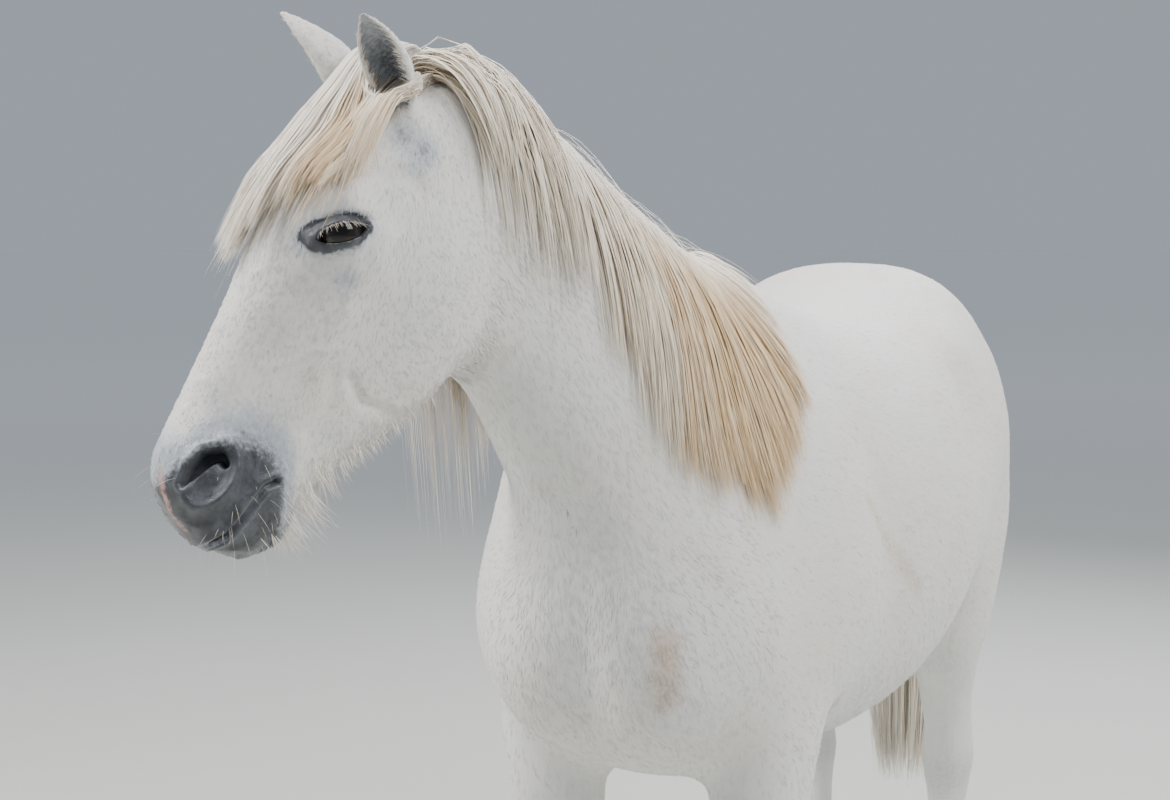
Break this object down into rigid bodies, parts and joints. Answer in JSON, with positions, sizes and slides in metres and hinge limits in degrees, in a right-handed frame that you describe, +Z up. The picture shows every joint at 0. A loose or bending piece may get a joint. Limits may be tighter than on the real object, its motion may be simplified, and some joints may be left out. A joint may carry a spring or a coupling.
{
  "type": "horse",
  "caption": "Life-size grey riding horse standing square, neck raised and head turned to its right, with a cream mane, forelock and long tail.",
  "frame": {"origin": "middle of the bounding box at floor level, under the belly", "axes": "+Z up, the horse faces -Y, its left side is +X"},
  "size_m": [0.6006, 2.0522, 1.7384],
  "materials": {
    "coat": "short white coat with grey shading",
    "muzzle_skin": "slate skin with short down",
    "ear_skin": "short white hair, grey inside",
    "eyeball": "wet, near black",
    "hoof_horn": "ringed grey horn",
    "long_hair": "cream hair in locks"
  },
  "bodies": {
    "root": {"head": "coat", "neck": "coat", "trunk": "coat", "foreleg_left": "coat", "foreleg_right": "coat", "hindleg_left": "coat", "hindleg_right": "coat", "muzzle": "muzzle_skin", "ear_left": "ear_skin", "ear_right": "ear_skin", "eye_left": "eyeball", "eye_right": "eyeball", "hoof_fore_left": "hoof_horn", "hoof_fore_right": "hoof_horn", "hoof_hind_left": "hoof_horn", "hoof_hind_right": "hoof_horn", "mane_left": "long_hair", "mane_right": "long_hair", "forelock": "long_hair", "tail": "long_hair"}
  },
  "joints": []
}
